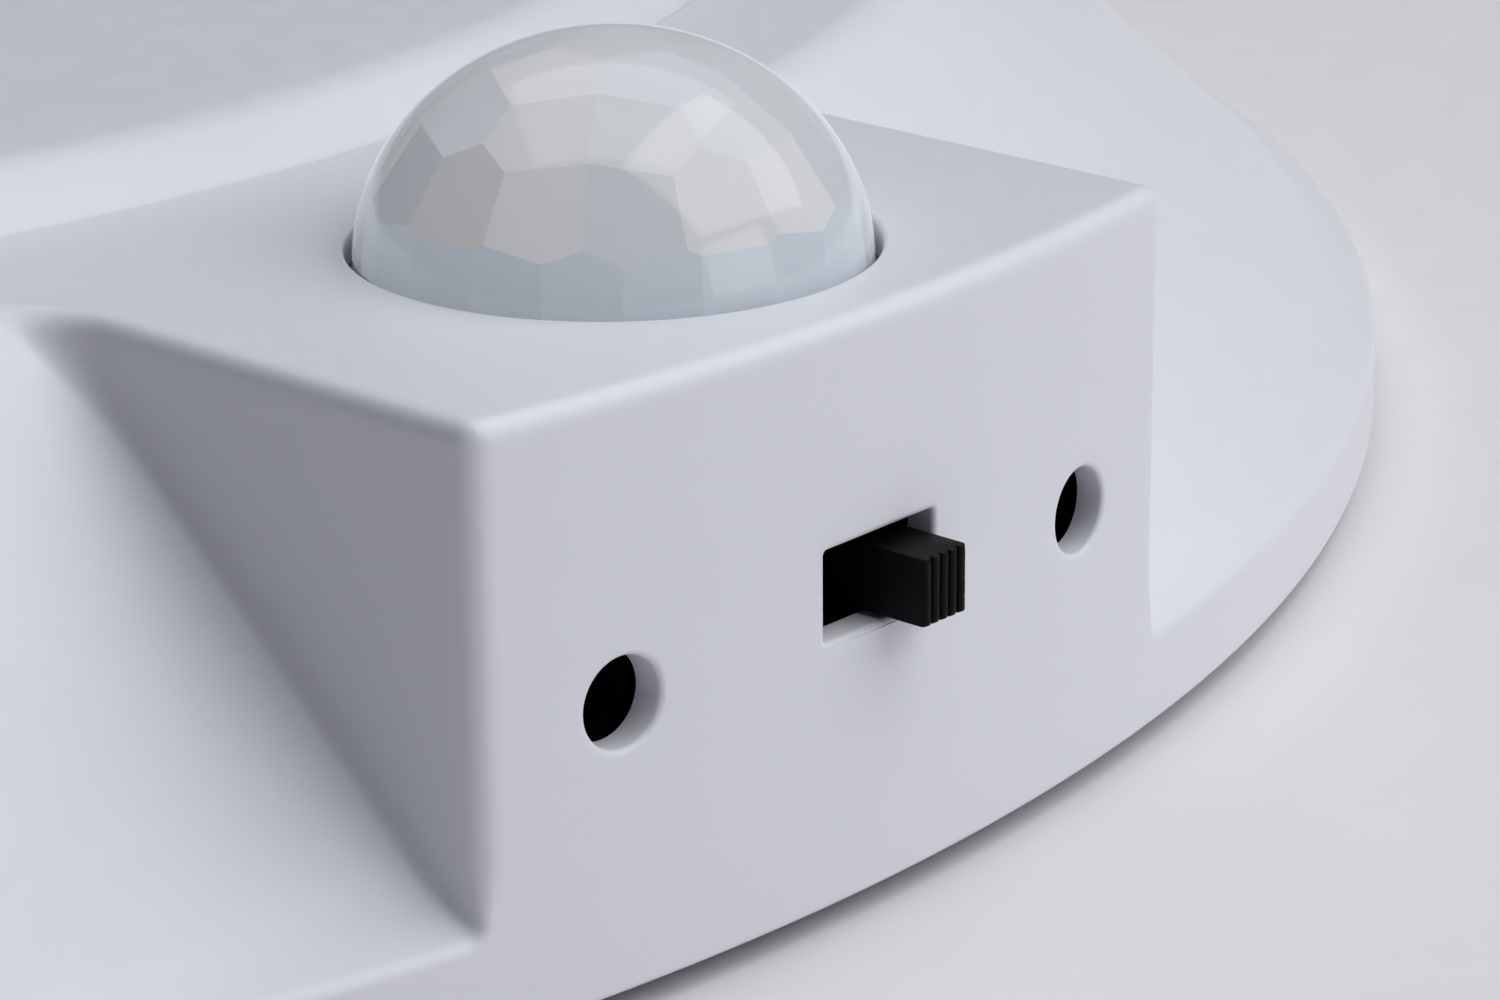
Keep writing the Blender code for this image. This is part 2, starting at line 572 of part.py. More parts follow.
def light_source():
    turned("led_board", [(0, BOARD), (LED_BOARD_R, BOARD), (LED_BOARD_R, 0), (0, 0)], 40,
           (0, 0, LED_BOARD_Z), ALUMINIUM)
    chip_z = LED_BOARD_Z + BOARD + GAP
    for number in range(LED_COUNT):
        centre = around(LED_CIRCLE_R, 360 * number / LED_COUNT, chip_z)
        half = Vector((1.75 * MM, 1.4 * MM, 0))
        box(f"led_{number + 1}", centre - half, centre + half + Vector((0, 0, 0.8 * MM)), PHOSPHOR)
    inner_r = LED_BOARD_R - 4 * MM
    low = chip_z
    rim = 88.9 * MM
    rim_top = TOP_Z - WALL - 2 * GAP - 1.2 * MM
    turned("reflector", [
        (rim, rim_top), (rim, rim_top - 1.2 * MM), (84 * MM, rim_top - 1.2 * MM),
        (80 * MM, low), (inner_r, low), (inner_r, low + 0.9 * MM), (79.3 * MM, low + 0.9 * MM),
        (83.3 * MM, rim_top),
    ], 48, surface=INNER_WHITE)


def batteries():
    for number in range(4):
        x = (number - 1.5) * CELL_PITCH
        way = 1 if number % 2 == 0 else -1
        cell(number + 1, x, way)
        plate_y = sorted((way * (WELL_HALF_Y - 0.8 * MM), way * (WELL_HALF_Y - GAP)))
        box(f"contact_plate_{number + 1}", (x - 5 * MM, plate_y[0], CELL_Z - 5 * MM),
            (x + 5 * MM, plate_y[1], CELL_Z + 5 * MM), STEEL)
        contact_spring(number + 1, x, -way)


def cell(number, x, way):
    """An AA cell lying along Y, its nub towards way."""
    body = CELL_LENGTH - 1.3 * MM
    made = turned(f"cell_{number}", [
        (0, 1.3 * MM), (2.75 * MM, 1.3 * MM), (2.75 * MM, 0), (CELL_R - 0.6 * MM, 0),
        (CELL_R, -0.6 * MM), (CELL_R, 0.6 * MM - body), (CELL_R - 0.6 * MM, -body), (0, -body),
    ], 16, (x, way * (WELL_HALF_Y - 0.8 * MM - GAP - 1.3 * MM), CELL_Z), CELL_JACKET)
    made.rotation_euler = (-way * pi / 2, 0, 0)


def contact_spring(number, x, side):
    """A conical coil between the well's end wall and the cell's flat end."""
    turns, per_turn = 2.5, 8
    count = int(turns * per_turn)
    start, length = WELL_HALF_Y - 0.9 * MM, 4.9 * MM
    points = []
    for i in range(count + 1):
        share = i / count
        radius = (4.6 - 1.9 * share) * MM
        turn = 2 * pi * turns * share
        points.append((x + radius * cos(turn), side * (start - length * share),
                       CELL_Z + radius * sin(turn)))
    wire(f"contact_spring_{number}", points, 0.35 * MM, STEEL, resolution=1)


def smooth_route(knots, count):
    """Points along a Catmull-Rom curve through the knots."""
    knots = [Vector(k) for k in knots]
    padded = [2 * knots[0] - knots[1]] + knots + [2 * knots[-1] - knots[-2]]
    points = []
    spans = len(knots) - 1
    for i in range(count + 1):
        place = spans * i / count
        span = min(int(place), spans - 1)
        t = place - span
        a, b, c, d = padded[span:span + 4]
        points.append(0.5 * (2 * b + (c - a) * t + (2 * a - 5 * b + 4 * c - d) * t ** 2
                             + (3 * b - a - 3 * c + d) * t ** 3))
    return points


def wires():
    plug_y = CONTROL_BOARD_Y + BOARD + GAP + 5 * MM + GAP
    well_y = -WELL_HALF_Y - WALL - GAP
    routes = {
        "battery_wire_red": (RED_WIRE, -12.5, (-18, 12), (-22, -58), 10.5),
        "battery_wire_black": (BLACK_WIRE, -10.2, (-8, 12), (-12, -60), 10.0),
        "led_wire_red": (RED_WIRE, -7.9, (0, 16), (0, -62), 13.5),
        "led_wire_black": (BLACK_WIRE, -5.6, (8, 16), (10, -60), 13.0),
    }
    for name, (surface, plug_x, start, waist, waist_z) in routes.items():
        knots = [
            (start[0] * MM, well_y, start[1] * MM),
            (start[0] * MM, well_y - 6 * MM, start[1] * MM),
            (waist[0] * MM, waist[1] * MM, waist_z * MM),
            (plug_x * MM, -92 * MM, 11.75 * MM),
            (plug_x * MM, plug_y, 11.75 * MM),
        ]
        wire(name, smooth_route(knots, 12), 0.75 * MM, surface)


front_cover()
diffuser()
fresnel_dome()
lens_retainer()
sensor_electronics()
control_electronics()
slide_switch()
rear_housing()
mounting_plate()
light_source()
batteries()
wires()

for part in PARTS.objects:
    if part.type == "MESH":
        part.data.shade_smooth()
        part.data.set_sharp_from_angle(angle=radians(30))
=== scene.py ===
"""Looks for the motion sensor light: fine shells, the lens dome, materials, light and camera.

Lengths are metres in the part's own frame. +Z is out of the light's face and -Y is towards
the switch.
"""

import json
from math import cos, hypot, pi, radians, sin

import bmesh
import bpy
import numpy as np
from mathutils import Matrix, Vector

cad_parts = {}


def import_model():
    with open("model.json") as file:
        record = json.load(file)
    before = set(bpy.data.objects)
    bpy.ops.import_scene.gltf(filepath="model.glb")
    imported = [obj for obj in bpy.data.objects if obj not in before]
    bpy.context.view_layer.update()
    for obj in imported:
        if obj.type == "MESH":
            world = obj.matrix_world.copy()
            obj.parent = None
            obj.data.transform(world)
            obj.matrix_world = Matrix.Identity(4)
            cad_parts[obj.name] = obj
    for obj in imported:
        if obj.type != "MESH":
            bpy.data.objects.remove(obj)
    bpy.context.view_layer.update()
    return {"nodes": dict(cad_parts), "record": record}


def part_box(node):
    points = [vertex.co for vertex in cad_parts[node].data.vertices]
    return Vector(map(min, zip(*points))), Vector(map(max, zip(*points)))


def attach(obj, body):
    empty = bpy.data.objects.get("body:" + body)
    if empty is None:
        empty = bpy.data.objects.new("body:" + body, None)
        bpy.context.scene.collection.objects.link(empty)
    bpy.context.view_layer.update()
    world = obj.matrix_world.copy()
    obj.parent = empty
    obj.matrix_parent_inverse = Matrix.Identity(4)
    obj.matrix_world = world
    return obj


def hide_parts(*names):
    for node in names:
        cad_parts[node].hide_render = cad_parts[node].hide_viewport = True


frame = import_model()

MM = 0.001
NODES = frame["nodes"]


def span(node):
    """A node's lowest and highest corner."""
    low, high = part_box(node)
    return Vector(low), Vector(high)


COVER_LOW, COVER_HIGH = span("front_cover")
DOME_LOW, DOME_HIGH = span("fresnel_dome")
KNOB_LOW, KNOB_HIGH = span("switch_knob")
DIFFUSER_LOW, DIFFUSER_HIGH = span("diffuser")

# Body, as the CAD part has it
BODY_R = -COVER_LOW.y
TOP_Z = COVER_HIGH.z
RIM_Z = COVER_LOW.z
WALL = 1.5 * MM
SHOULDER_R = 97.4 * MM
FLARE_SLOPE = 0.928
FLARE_END_R = 119.8 * MM
LIP_Z = 5.6 * MM
LIP_SLOPE = 0.26
OPENING_R = 87.7 * MM
POD_HALF_WIDTH = 22.7 * MM
DOME_Y = (DOME_LOW.y + DOME_HIGH.y) / 2
DOME_HOLE_R = 11.95 * MM
HOLE_R = 2.05 * MM
HOLE_X = 15.3 * MM
HOLE_Z = TOP_Z - 13.65 * MM
SLOT_HALF_WIDTH = 3.65 * MM
SLOT_HALF_HEIGHT = 2.1 * MM
SLOT_Z = TOP_Z - 12.2 * MM

# Edge rounding of the moulding
EDGE_R = 0.95 * MM
RIM_EDGE_R = 0.45 * MM
JUNCTION_R = 0.7 * MM
CORNER_R = 2.6 * MM             # where the pod's side runs out into the shoulder
SECTION_R = 84 * MM             # a point inside the section, from which all of its outline shows
SECTION_Z = 6 * MM
MOUTH_R = 0.28 * MM


# ---------------------------------------------------------------- meshes

def mesh_object(name, vertices, faces, smooth=True, sharp=None):
    mesh = bpy.data.meshes.new(name)
    mesh.from_pydata([tuple(v) for v in vertices], [], faces)
    mesh.validate()
    made = bpy.data.objects.new(name, mesh)
    bpy.context.scene.collection.objects.link(made)
    if smooth:
        shade(made, sharp)
    return made


def shade(made, sharp=None):
    made.data.shade_smooth()
    if sharp:
        made.data.set_sharp_from_angle(angle=radians(sharp))


def outward(made):
    """Faces of a closed mesh made to point out."""
    shape = bmesh.new()
    shape.from_mesh(made.data)
    bmesh.ops.recalc_face_normals(shape, faces=shape.faces)
    shape.to_mesh(made.data)
    shape.free()


def drop(made):
    bpy.data.objects.remove(made, do_unlink=True)


def cut(target, tools, operation="DIFFERENCE"):
    """Boolean cuts, baked into the target's mesh; the tools go."""
    for tool in tools:
        modifier = target.modifiers.new("cut", "BOOLEAN")
        modifier.operation = operation
        modifier.solver = "EXACT"
        modifier.object = tool
    bake(target)
    for tool in tools:
        drop(tool)


def bake(target):
    """Modifiers applied to the object's own mesh."""
    evaluated = target.evaluated_get(bpy.context.evaluated_depsgraph_get())
    mesh = bpy.data.meshes.new_from_object(evaluated)
    old = target.data
    target.modifiers.clear()
    target.data = mesh
    bpy.data.meshes.remove(old)


def turned(name, profile, steps, centre=(0, 0, 0), sharp=35):
    """A solid of revolution. The profile is (radius, height) points, on the axis at both ends
    or closed on itself."""
    on_axis = profile[0][0] < 1e-7
    rings = profile[1:-1] if on_axis else profile
    vertices = []
    for radius, height in rings:
        for i in range(steps):
            turn = 2 * pi * i / steps
            vertices.append((centre[0] + radius * cos(turn), centre[1] + radius * sin(turn),
                             centre[2] + height))
    count = len(rings)
    faces = []
    for j in range(count if not on_axis else count - 1):
        for i in range(steps):
            k = (i + 1) % steps
            a, b = j * steps, (j + 1) % count * steps
            faces.append((a + i, b + i, b + k, a + k))
    if on_axis:
        for ring, point in ((0, profile[0]), (count - 1, profile[-1])):
            vertices.append((centre[0], centre[1], centre[2] + point[1]))
            pole = len(vertices) - 1
            for i in range(steps):
                faces.append((pole, ring * steps + i, ring * steps + (i + 1) % steps))
    made = mesh_object(name, vertices, faces, smooth=False)
    outward(made)
    shade(made, sharp)
    return made


def arc(centre, radius, start, end, count):
    """Points on an arc in a profile, angles in degrees."""
    return [
        (centre[0] + radius * cos(radians(start + (end - start) * i / count)),
         centre[1] + radius * sin(radians(start + (end - start) * i / count)))
        for i in range(count + 1)
    ]


# ---------------------------------------------------------------- front cover

def round_max(a, b, radius):
    """Intersection of two distance fields with a rounded edge."""
    u, v = np.maximum(a + radius, 0), np.maximum(b + radius, 0)
    return np.minimum(np.maximum(a, b), -radius) + np.sqrt(u * u + v * v)


def round_min(a, b, radius):
    """Union of two distance fields with a rounded inner corner."""
    return -round_max(-a, -b, radius)


def cover_field(r, turn, z, inset):
    """Signed distance to the cover's outer surface, or to the surface this far inside it.
    turn is measured from the pod's middle."""
    x = r * np.sin(turn)
    steep = hypot(1, FLARE_SLOPE)
    flat = hypot(1, LIP_SLOPE)
    cone = (z - TOP_Z + FLARE_SLOPE * (r - SHOULDER_R)) / steep + inset
    lip = (z - LIP_Z + LIP_SLOPE * (r - BODY_R)) / flat + inset
    side = np.where(np.cos(turn) > 0, np.abs(x), r) - POD_HALF_WIDTH + inset
    top = z - TOP_Z + inset
    front = r - BODY_R + inset
    bottom = RIM_Z - z
    skirt = round_min(cone, lip, 1.2 * MM)
    near_top = np.clip((z - TOP_Z + 7 * MM) / (7 * MM), 0, 1)
    lateral = round_min(skirt, side, JUNCTION_R + (CORNER_R - JUNCTION_R) * near_top ** 2)
    body = round_max(lateral, top, EDGE_R)
    near_rim = np.clip((z - LIP_Z - 1 * MM) / (2 * MM), 0, 1)
    body = round_max(body, front, RIM_EDGE_R + (EDGE_R - RIM_EDGE_R) * near_rim)
    if inset == 0:
        body = round_max(body, bottom, 0.25 * MM)
    return body


def spaced(stretches):
    """Values over stretches of (start, end, step), each stretch's end left to the next one."""
    values = []
    for start, end, step in stretches:
        count = max(1, round(abs(end - start) / step))
        values += [start + (end - start) * i / count for i in range(count)]
    return values


def cover_turns(fine):
    """Angles of the cover's meridians, from the pod's middle: close together at its sides."""
    half = spaced(((0, 8.6, 0.6 * fine), (8.6, 10.4, 0.15 * fine), (10.4, 14.3, 0.06 * fine),
                   (14.3, 17, 0.25), (17, 24, 0.6), (24, 180, 1.9)))
    return np.radians([-a for a in reversed(half[1:])] + half + [180.0])


def cover_rise(fine, first, last):
    """Angles up from the section's centre to the rings: close together where the line bends."""
    rise = spaced(((first, 62, 1.5), (62, 56, 0.26 * fine), (56, 31.5, 0.5 * fine),
                   (31.5, 27.5, 0.18 * fine), (27.5, 4, 0.55 * fine), (4, 0.6, 0.17 * fine),
                   (0.6, -2.0, 0.15 * fine), (-2.0, -6.2, 0.8), (-6.2, last, 0.12 * fine)))
    return np.radians(rise + [last])


def cover_skin(turns, inset, fine):
    """Rings of points on the outer surface, or this far inside it: one row for each meridian,
    from the opening's edge out over the body to the rim."""
    first = np.degrees(np.arctan2(TOP_Z - inset - SECTION_Z, OPENING_R - SECTION_R))
    last = np.degrees(np.arctan2(RIM_Z - SECTION_Z, BODY_R - inset - SECTION_R))
    rise = cover_rise(fine, first, last)
    way_r, way_z = np.cos(rise)[None, :], np.sin(rise)[None, :]
    low = np.zeros((len(turns), len(rise)))
    high = np.full_like(low, 60 * MM)
    for _ in range(30):
        middle = (low + high) / 2
        inside = cover_field(SECTION_R + middle * way_r, turns[:, None],
                             SECTION_Z + middle * way_z, inset) < 0
        low = np.where(inside, middle, low)
        high = np.where(inside, high, middle)
    return np.stack([SECTION_R + low * way_r, SECTION_Z + low * way_z], axis=-1)


def front_cover():
    """The moulded cover as one closed shell: outer skin, rim, inner skin, opening edge."""
    turns = cover_turns(1.0)
    outer = cover_skin(turns, 0.0, 1.08)
    inner = cover_skin(turns, WALL, 5.0)
    lines = np.concatenate([outer, inner[:, ::-1]], axis=1)
    lines[:, len(outer[0]) - 1, 1] = RIM_Z
    lines[:, len(outer[0]), 1] = RIM_Z
    count = lines.shape[1]
    x = lines[:, :, 0] * np.sin(turns)[:, None]
    y = -lines[:, :, 0] * np.cos(turns)[:, None]
    vertices = np.stack([x, y, lines[:, :, 1]], axis=-1).reshape(-1, 3)
    faces = []
    for i in range(len(turns)):
        k = (i + 1) % len(turns)
        for j in range(count):
            m = (j + 1) % count
            faces.append((i * count + j, i * count + m, k * count + m, k * count + j))
    made = mesh_object("cover_shell", vertices, faces, smooth=False)
    outward(made)
    cut(made, [dome_hole_tool(), slot_tool()] + [hole_tool(side) for side in (-1, 1)])
    shade(made, 38)
    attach(made, "light_body")
    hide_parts("front_cover")
    return made


def dome_hole_tool():
    """Cutter for the dome's hole with a softly rounded mouth."""
    rim = arc((DOME_HOLE_R + MOUTH_R, TOP_Z - MOUTH_R), MOUTH_R, 180, 90, 6)
    profile = [(0, TOP_Z - 4 * MM), (DOME_HOLE_R, TOP_Z - 4 * MM)] + rim
    profile += [(DOME_HOLE_R + MOUTH_R, TOP_Z + 2 * MM), (0, TOP_Z + 2 * MM)]
    return turned("dome_hole_tool", profile, 160, (0, DOME_Y, 0))


def mouth_tool(name, outline):
    """Cutter along Y whose mouth is rounded where it meets the curved front.
    outline(grow) gives the opening's (x, z) points, grown outwards."""
    rings = [(0.0, -7 * MM)]
    for i in range(7):
        a = radians(90 * i / 6)
        rings.append((MOUTH_R * (1 - cos(a)), MOUTH_R * (sin(a) - 1)))
    rings.append((MOUTH_R, 2 * MM))
    vertices = []
    for grow, out in rings:
        for x, z in outline(grow):
            vertices.append((x, -(BODY_R ** 2 - x ** 2) ** 0.5 - out, z))
    count = len(outline(0))
    faces = [tuple(range(count)), tuple((len(rings) - 1) * count + i for i in reversed(range(count)))]
    for j in range(len(rings) - 1):
        for i in range(count):
            k = (i + 1) % count
            faces.append((j * count + i, (j + 1) * count + i, (j + 1) * count + k, j * count + k))
    made = mesh_object(name, vertices, faces, smooth=False)
    outward(made)
    return made


def hole_tool(side):
    def outline(grow):
        return arc((side * HOLE_X, HOLE_Z), HOLE_R + grow, 0, 360 - 360 / 56, 55)
    return mouth_tool(f"hole_tool_{side}", outline)


def slot_tool():
    corner = 0.2 * MM

    def outline(grow):
        points = []
        half_x, half_z = SLOT_HALF_WIDTH - corner, SLOT_HALF_HEIGHT - corner
        for quarter, (sx, sz) in enumerate(((1, 1), (-1, 1), (-1, -1), (1, -1))):
            points += arc((sx * half_x, SLOT_Z + sz * half_z), corner + grow,
                          90 * quarter, 90 * quarter + 90, 6)
        return points
    return mouth_tool("slot_tool", outline)


# ---------------------------------------------------------------- lens dome

DOME_R = 11.6 * MM
DOME_RISE = 10.35 * MM
DOME_BASE_Z = TOP_Z - 0.92 * MM
FACET_R = 11.0 * MM             # inner faces touch an ellipsoid this far out
FACET_RISE = 9.75 * MM
FACET_START = -54               # azimuth where the rows line up, from -Y towards +X
FACET_ROWS = ((20, 0, 5.5), (15, 12, 31), (10, 18, 49.5), (5, 36, 69))   # count, shift, height angle
FACET_BULGE = 0.10 * MM
RIM_BAND = 0.55 * MM            # solid plastic below the facets
SCATTERED_LIGHT = 0.32          # stands for light that the milky plastic spreads round the dome
SKIN_LIGHT = 0.18               # the same in its outer skin


def facet_planes():
    """Touching point and outward normal of every lens facet, row by row, the top one last."""
    planes = []
    for count, shift, rise in FACET_ROWS:
        for i in range(count):
            turn = radians(FACET_START + shift + 360 * i / count)
            height = radians(rise)
            out = Vector((sin(turn) * cos(height), -cos(turn) * cos(height), sin(height)))
            point = Vector((out.x * FACET_R, out.y * FACET_R, out.z * FACET_RISE))
            normal = Vector((out.x / FACET_R, out.y / FACET_R, out.z / FACET_RISE)).normalized()
            planes.append((point, normal))
    planes.append((Vector((0, 0, FACET_RISE)), Vector((0, 0, 1))))
    return planes


def facet_core():
    """The hollow of the dome: a many-sided solid, one flat side for each lens facet."""
    shape = bmesh.new()
    bmesh.ops.create_cube(shape, size=30 * MM)
    for point, normal in facet_planes():
        everything = shape.verts[:] + shape.edges[:] + shape.faces[:]
        made = bmesh.ops.bisect_plane(shape, geom=everything, dist=1e-8, plane_co=point,
                                      plane_no=normal, clear_outer=True)
        edges = [e for e in made["geom_cut"] if isinstance(e, bmesh.types.BMEdge)]
        bmesh.ops.contextual_create(shape, geom=edges)
    bmesh.ops.recalc_face_normals(shape, faces=shape.faces)
    mesh = bpy.data.meshes.new("facet_core")
    shape.to_mesh(mesh)
    shape.free()
    made = bpy.data.objects.new("facet_core", mesh)
    bpy.context.scene.collection.objects.link(made)
    made.location = (0, DOME_Y, DOME_BASE_Z)
    return made


def lens_dome():
    """Milky shell, smooth outside, with a bulged facet for every lens inside."""
    flange_z = DOME_HIGH.z - DOME_RISE - DOME_BASE_Z
    low = DOME_LOW.z - DOME_BASE_Z
    flange_top = low + 0.7 * MM
    outside = [(DOME_R * sin(radians(a)), DOME_RISE * cos(radians(a))) for a in range(0, 91, 3)]
    outside[0] = (0, DOME_RISE + flange_z)
    profile = outside + [(DOME_R, flange_top + 0.2 * MM), (DOME_R + 0.2 * MM, flange_top),
                         (13.0 * MM, flange_top), (13.0 * MM, low), (0, low)]
    made = turned("lens_dome", profile, 192, (0, DOME_Y, DOME_BASE_Z))
    cut(made, [facet_core()])
    centre = Vector((0, DOME_Y, DOME_BASE_Z))
    planes = facet_planes()
    shape = bmesh.new()
    shape.from_mesh(made.data)
    shape.normal_update()
    tone = shape.loops.layers.float_color.new("facet_tone")
    marks = shape.faces.layers.int.new("facet")
    for face in shape.faces:
        face[marks] = 0
        for number, (point, normal) in enumerate(planes):
            flat = abs((face.calc_center_median() - centre - point).dot(normal)) < 0.02 * MM
            if flat and face.normal.dot(normal) < -0.999:
                face[marks] = number + 1
                break
    edges = {edge for face in shape.faces if face[marks] > 0 for edge in face.edges}
    bmesh.ops.bisect_edges(shape, edges=list(edges), cuts=5)
    chance = np.random.default_rng(7)
    # A random painted brightness and warmth for each facet, standing for the light it bends its own
    # way.
    shades = chance.uniform(0, 1, len(planes))
    warmths = chance.uniform(0.35, 1, len(planes))
    for face in [f for f in shape.faces if f[marks] > 0]:
        bulge_facet(shape, face, marks, planes[face[marks] - 1][1])
    for face in shape.faces:
        low_down = face.calc_center_median().z < DOME_BASE_Z + RIM_BAND
        face.material_index = 1 if face[marks] > 0 else 2 if low_down else 0
        # The bottom row takes the cool colour and a fixed darker value: painted shade of the dark
        # hollow seen through the thin lens.
        number = face[marks] - 1
        upper = number >= FACET_ROWS[0][0]
        warmth = warmths[number] if upper else 0.0
        for loop in face.loops:
            loop[tone] = (warmth, shades[number] if upper else 0.6, 0.0, 1.0)
    bmesh.ops.recalc_face_normals(shape, faces=shape.faces)
    shape.to_mesh(made.data)
    shape.free()
    shade(made, 7)
    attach(made, "light_body")
    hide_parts("fresnel_dome")
    return made


def bulge_facet(shape, face, marks, normal):
    """A flat side replaced by a shallow dome of rings that swells towards the hollow."""
    rim = list(face.verts)
    mark = face[marks]
    middle = face.calc_center_median()
    shape.faces.remove(face)
    rings = 5
    previous = rim
    for ring in range(1, rings):
        share = 1 - ring / rings
        lift = -normal * FACET_BULGE * (1 - share * share)
        current = [shape.verts.new(middle + (v.co - middle) * share + lift) for v in rim]
        for i in range(len(rim)):
            k = (i + 1) % len(rim)
            made = shape.faces.new((previous[i], previous[k], current[k], current[i]))
            made[marks] = mark
            made.smooth = True
        previous = current
    tip = shape.verts.new(middle - normal * FACET_BULGE)
    for i in range(len(rim)):
        made = shape.faces.new((previous[i], previous[(i + 1) % len(rim)], tip))
        made[marks] = mark
        made.smooth = True


# ---------------------------------------------------------------- switch knob

def switch_knob():
    """Black slider: a ribbed thumb piece on a block, with the ragged ends of a cheap moulding."""
    chance = np.random.default_rng(3)
    ribs = 5
    low_x, high_x = KNOB_LOW.x + THUMB_INSET, KNOB_HIGH.x - THUMB_INSET
    tip = KNOB_LOW.y
    low_z, high_z = KNOB_LOW.z + BLOCK_STEP, KNOB_HIGH.z - BLOCK_STEP
    pitch = (high_x - low_x) / ribs
    outline = [(low_x, BLOCK_FRONT_Y + 0.2 * MM)]
    depth = 0.26 * MM
    for rib in range(ribs):
        centre = low_x + pitch * (rib + 0.5)
        for i in range(9):
            turn = radians(180 - 180 * i / 8)
            x = centre + cos(turn) * pitch * 0.43
            outline.append((x, tip + depth * (1 - sin(turn) ** 0.6)))
    outline.append((high_x, BLOCK_FRONT_Y + 0.2 * MM))
    layers = 26
    count = len(outline)
    waves = chance.uniform(-1, 1, (ribs, layers))
    ends = chance.uniform(0, 1, (ribs, 2))
    vertices = []
    for layer in range(layers + 1):
        share = layer / layers
        for number, (x, y) in enumerate(outline):
            z = low_z + (high_z - low_z) * share
            if 0 < number < count - 1:
                rib = (number - 1) // 9
                crest = sin(radians(180 * ((number - 1) % 9) / 8))
                end = 1 if share > 0.5 else 0
                near_end = max(0.0, 1 - min(share, 1 - share) * 7)
                y += near_end ** 2 * 0.10 * MM * crest * ends[rib, end]
                y += 0.012 * MM * waves[rib, min(layer, layers - 1)] * crest
                if layer in (0, layers):
                    z += (0.07 if end else -0.07) * MM * (ends[rib, end] - 1) * crest
            vertices.append((x, y, z))
    faces = [tuple(range(count)), tuple(layers * count + i for i in reversed(range(count)))]
    for layer in range(layers):
        for i in range(count):
            k = (i + 1) % count
            a, b = layer * count, (layer + 1) * count
            faces.append((a + i, b + i, b + k, a + k))
    thumb = mesh_object("slider_thumb", vertices, faces, smooth=False)
    outward(thumb)
    block = rounded_box("slider_body", (KNOB_LOW.x, BLOCK_FRONT_Y, KNOB_LOW.z),
                        (KNOB_HIGH.x, KNOB_HIGH.y, KNOB_HIGH.z), 0.12 * MM)
    cut(thumb, [block], "UNION")
    soften(thumb, 0.05 * MM, 2, 50)
    shade(thumb, 40)
    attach(thumb, "switch_slider")
    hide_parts("switch_knob")
    return thumb


def rounded_box(name, low, high, radius, segments=3):
    low, high = Vector(low), Vector(high)
    shape = bmesh.new()
    bmesh.ops.create_cube(shape, size=1.0)
    bmesh.ops.scale(shape, vec=high - low, verts=shape.verts)
    bmesh.ops.translate(shape, vec=(low + high) / 2, verts=shape.verts)
    if radius:
        bmesh.ops.bevel(shape, geom=shape.edges[:], offset=radius, segments=segments,
                        affect="EDGES", profile=0.5)
    mesh = bpy.data.meshes.new(name)
    shape.to_mesh(mesh)
    shape.free()
    made = bpy.data.objects.new(name, mesh)
    bpy.context.scene.collection.objects.link(made)
    return made


def soften(target, width, segments, angle):
    """Sharp edges rounded a little."""
    modifier = target.modifiers.new("soften", "BEVEL")
    modifier.width = width
    modifier.segments = segments
    modifier.limit_method = "ANGLE"
    modifier.angle_limit = radians(angle)
    modifier.use_clamp_overlap = True
    bake(target)


THUMB_INSET = 0.75 * MM         # the block is this much wider than the thumb piece, each side
BLOCK_STEP = 0.35 * MM          # and this much higher
BLOCK_FRONT_Y = -117.3 * MM


# ---------------------------------------------------------------- diffuser

CHAMFER_WIDE = 3.9 * MM         # the sloping edge of the opal cap
CHAMFER_HIGH = 2.2 * MM
CAP_WALL = 1.6 * MM


def diffuser():
    """Opal cap with a sloping, rolled edge."""
    edge_r = OPENING_R - 0.1 * MM
    crest_r = edge_r - CHAMFER_WIDE
    crest = TOP_Z + CHAMFER_HIGH
    crown = DIFFUSER_HIGH.z - crest
    low, flange_r = DIFFUSER_LOW.z, DIFFUSER_HIGH.x

    def crown_z(r):
        return crest + crown * (1 - (r / crest_r) ** 2)

    top = [(crest_r * i / 25, crown_z(crest_r * i / 25)) for i in range(25)]
    start = Vector((crest_r - 0.8 * MM, crown_z(crest_r - 0.8 * MM)))
    corner = Vector((crest_r + 0.3 * MM, crest))
    end = corner + 0.3 * (Vector((edge_r, TOP_Z)) - corner)
    top += [tuple(start.lerp(corner, share).lerp(corner.lerp(end, share), share))
            for share in (0, 0.2, 0.4, 0.6, 0.8, 1)]
    top += [(edge_r - 0.25 * MM, TOP_Z + 0.15 * MM), (edge_r, TOP_Z - 0.05 * MM)]
    flange = [(edge_r, low + 1.2 * MM), (flange_r, low + 1.2 * MM), (flange_r, low),
              (edge_r - CAP_WALL, low)]
    below = [(edge_r - CAP_WALL, TOP_Z - CAP_WALL)] + [(r, z - CAP_WALL) for r, z in reversed(top[:25])]
    made = turned("opal_diffuser", top + flange + below, 256, sharp=40)
    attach(made, "light_body")
    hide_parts("diffuser")
    return made


# ---------------------------------------------------------------- materials

